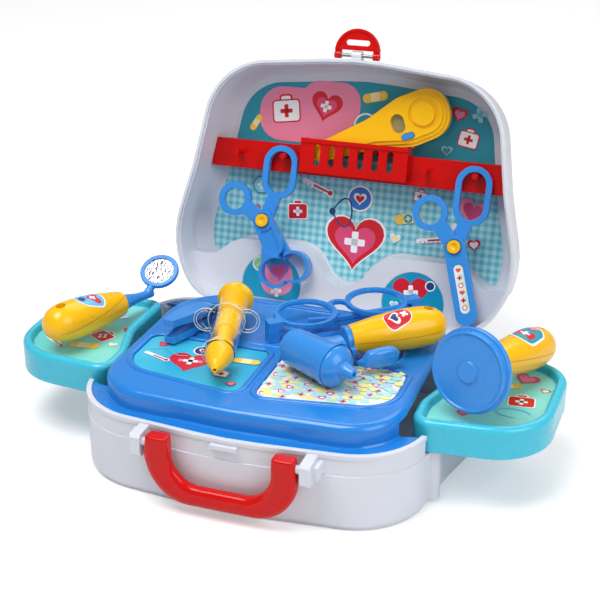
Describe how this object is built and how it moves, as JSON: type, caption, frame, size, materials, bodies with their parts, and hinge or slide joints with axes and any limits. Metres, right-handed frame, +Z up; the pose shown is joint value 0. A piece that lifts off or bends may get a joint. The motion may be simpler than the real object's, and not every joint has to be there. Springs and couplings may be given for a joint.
{
  "type": "toy doctor case",
  "caption": "Open toy doctor case: hinged lid with tool rack, swing-out side trays, carry handle and a set of play medical instruments.",
  "frame": {"origin": "centre of the flat underside of the lower shell", "axes": "+Z up, -Y towards the carry handle (the front), +X to the right seen from the front"},
  "size_m": [0.3388, 0.2862, 0.2251],
  "materials": {
    "white": "satin",
    "steel": "satin",
    "deck_blue": "gloss",
    "label_blue": "printed film",
    "label_white": "printed film",
    "label_teal": "printed film",
    "red": "gloss",
    "cyan": "gloss",
    "label_mint": "printed film",
    "blue": "gloss",
    "yellow": "gloss",
    "window": "gloss",
    "mirror": "polished",
    "clear": "clear"
  },
  "bodies": {
    "case": {"base_shell": "white", "hinge_pin_left": "steel", "hinge_pin_right": "steel", "tray_deck": "deck_blue", "deck_label_left": "label_blue", "deck_label_right": "label_white"},
    "lid": {"lid_shell": "white", "lid_label": "label_teal", "lid_roundel_left": "label_teal", "lid_roundel_right": "label_teal", "tool_rack": "red", "latch_pin": "steel"},
    "latch_flap": {"latch": "red"},
    "handle": {"carry_handle": "red"},
    "left_tray": {"wing_left": "cyan", "wing_left_label": "label_mint"},
    "right_tray": {"wing_right": "cyan", "wing_right_label": "label_mint"},
    "forceps": {"forceps_back": "blue", "forceps_rivet": "yellow"},
    "forceps_arm": {"forceps_front": "blue"},
    "scissors": {"scissors_back": "blue", "scissors_rivet": "yellow"},
    "scissors_arm": {"scissors_front": "blue", "scissors_label": "label_white"},
    "thermometer": {"gauge_back": "yellow", "gauge_front": "yellow", "gauge_window": "window"},
    "key": {"gauge_button": "blue"},
    "otoscope": {"oto_head": "blue", "oto_cap": "blue", "oto_collar": "blue", "oto_grip_top": "yellow", "oto_grip_bottom": "yellow"},
    "trigger": {"oto_lever": "blue"},
    "mirror_tool": {"mirror_stem": "blue", "mirror_glass": "mirror", "mirror_grip_top": "yellow", "mirror_grip_bottom": "yellow"},
    "disc_tool": {"disc_head": "blue", "disc_grip_top": "yellow", "disc_grip_bottom": "yellow"},
    "syringe": {"syringe_barrel": "clear", "syringe_nozzle": "yellow"},
    "plunger": {"syringe_plunger": "yellow"},
    "spectacles": {"spec_front": "blue", "spec_pin_left": "blue", "spec_pin_right": "blue"},
    "left_temple": {"spec_temple_left": "blue"},
    "right_temple": {"spec_temple_right": "blue"},
    "tweezer": {"tweezers": "blue"}
  },
  "joints": [
    {"name": "lid_hinge", "type": "hinge", "parent": "case", "child": "lid", "pos_m": [0, 0.092, 0.0365], "axis": [-1, 0, 0], "range_deg": [-50, 0]},
    {"name": "latch_hinge", "type": "hinge", "parent": "lid", "child": "latch_flap", "pos_m": [0, 0.15573, 0.20762], "axis": [1, 0, 0], "range_deg": [0, 90]},
    {"name": "handle_hinge", "type": "hinge", "parent": "case", "child": "handle", "pos_m": [0, -0.093, 0.042], "axis": [-1, 0, 0], "range_deg": [0, 150]},
    {"name": "left_tray_swing", "type": "hinge", "parent": "case", "child": "left_tray", "pos_m": [-0.104, -0.033, 0.04], "axis": [0, 0, 1], "range_deg": [-90, 0]},
    {"name": "right_tray_swing", "type": "hinge", "parent": "case", "child": "right_tray", "pos_m": [0.104, -0.033, 0.04], "axis": [0, 0, -1], "range_deg": [-90, 0]},
    {"name": "forceps_off_peg", "type": "slide", "parent": "lid", "child": "forceps", "axis": [0, -0.9641, 0.2656], "range_m": [0, 0.018]},
    {"name": "forceps_pivot", "type": "hinge", "parent": "forceps", "child": "forceps_arm", "pos_m": [-0.0592, 0.13846, 0.08957], "axis": [0, -0.9298, 0.3681], "range_deg": [-25, 0]},
    {"name": "scissors_off_peg", "type": "slide", "parent": "lid", "child": "scissors", "axis": [0, -0.9641, 0.2656], "range_m": [0, 0.018]},
    {"name": "scissors_pivot", "type": "hinge", "parent": "scissors", "child": "scissors_arm", "pos_m": [0.0775, 0.13793, 0.08764], "axis": [0, -0.9298, 0.3681], "range_deg": [-25, 0]},
    {"name": "thermometer_out_of_basket", "type": "slide", "parent": "lid", "child": "thermometer", "axis": [0.9063, 0.1122, 0.4074], "range_m": [0, 0.0125]},
    {"name": "thermometer_key", "type": "slide", "parent": "thermometer", "child": "key", "axis": [0, 0.9641, -0.2656], "range_m": [0, 0.0006], "stiffness_N_per_m": 200},
    {"name": "otoscope_lift", "type": "slide", "parent": "case", "child": "otoscope", "axis": [0, 0, 1], "range_m": [0, 0.02]},
    {"name": "mirror_lift", "type": "slide", "parent": "case", "child": "mirror_tool", "axis": [0, 0, 1], "range_m": [0, 0.02]},
    {"name": "disc_lift", "type": "slide", "parent": "case", "child": "disc_tool", "axis": [0, 0, 1], "range_m": [0, 0.02]},
    {"name": "syringe_lift", "type": "slide", "parent": "case", "child": "syringe", "axis": [0, 0, 1], "range_m": [0, 0.02]},
    {"name": "spectacles_lift", "type": "slide", "parent": "case", "child": "spectacles", "axis": [0, 0, 1], "range_m": [0, 0.02]},
    {"name": "tweezers_lift", "type": "slide", "parent": "case", "child": "tweezer", "axis": [0, 0, 1], "range_m": [0, 0.02]},
    {"name": "otoscope_lever_hinge", "type": "hinge", "parent": "otoscope", "child": "trigger", "pos_m": [0.0481, -0.00349, 0.06927], "axis": [0.0137, 0.0109, -0.9998], "range_deg": [0, 10]},
    {"name": "plunger_slide", "type": "slide", "parent": "syringe", "child": "plunger", "axis": [0.2588, -0.9659, 0], "range_m": [-0.012, 0.004]},
    {"name": "left_temple_hinge", "type": "hinge", "parent": "spectacles", "child": "left_temple", "pos_m": [-0.01021, 0.01717, 0.0637], "axis": [-0.66, 0.7513, 0], "range_deg": [0, 1]},
    {"name": "right_temple_hinge", "type": "hinge", "parent": "spectacles", "child": "right_temple", "pos_m": [0.06281, 0.08132, 0.0669], "axis": [-0.66, 0.7513, 0], "range_deg": [0, 1]}
  ]
}
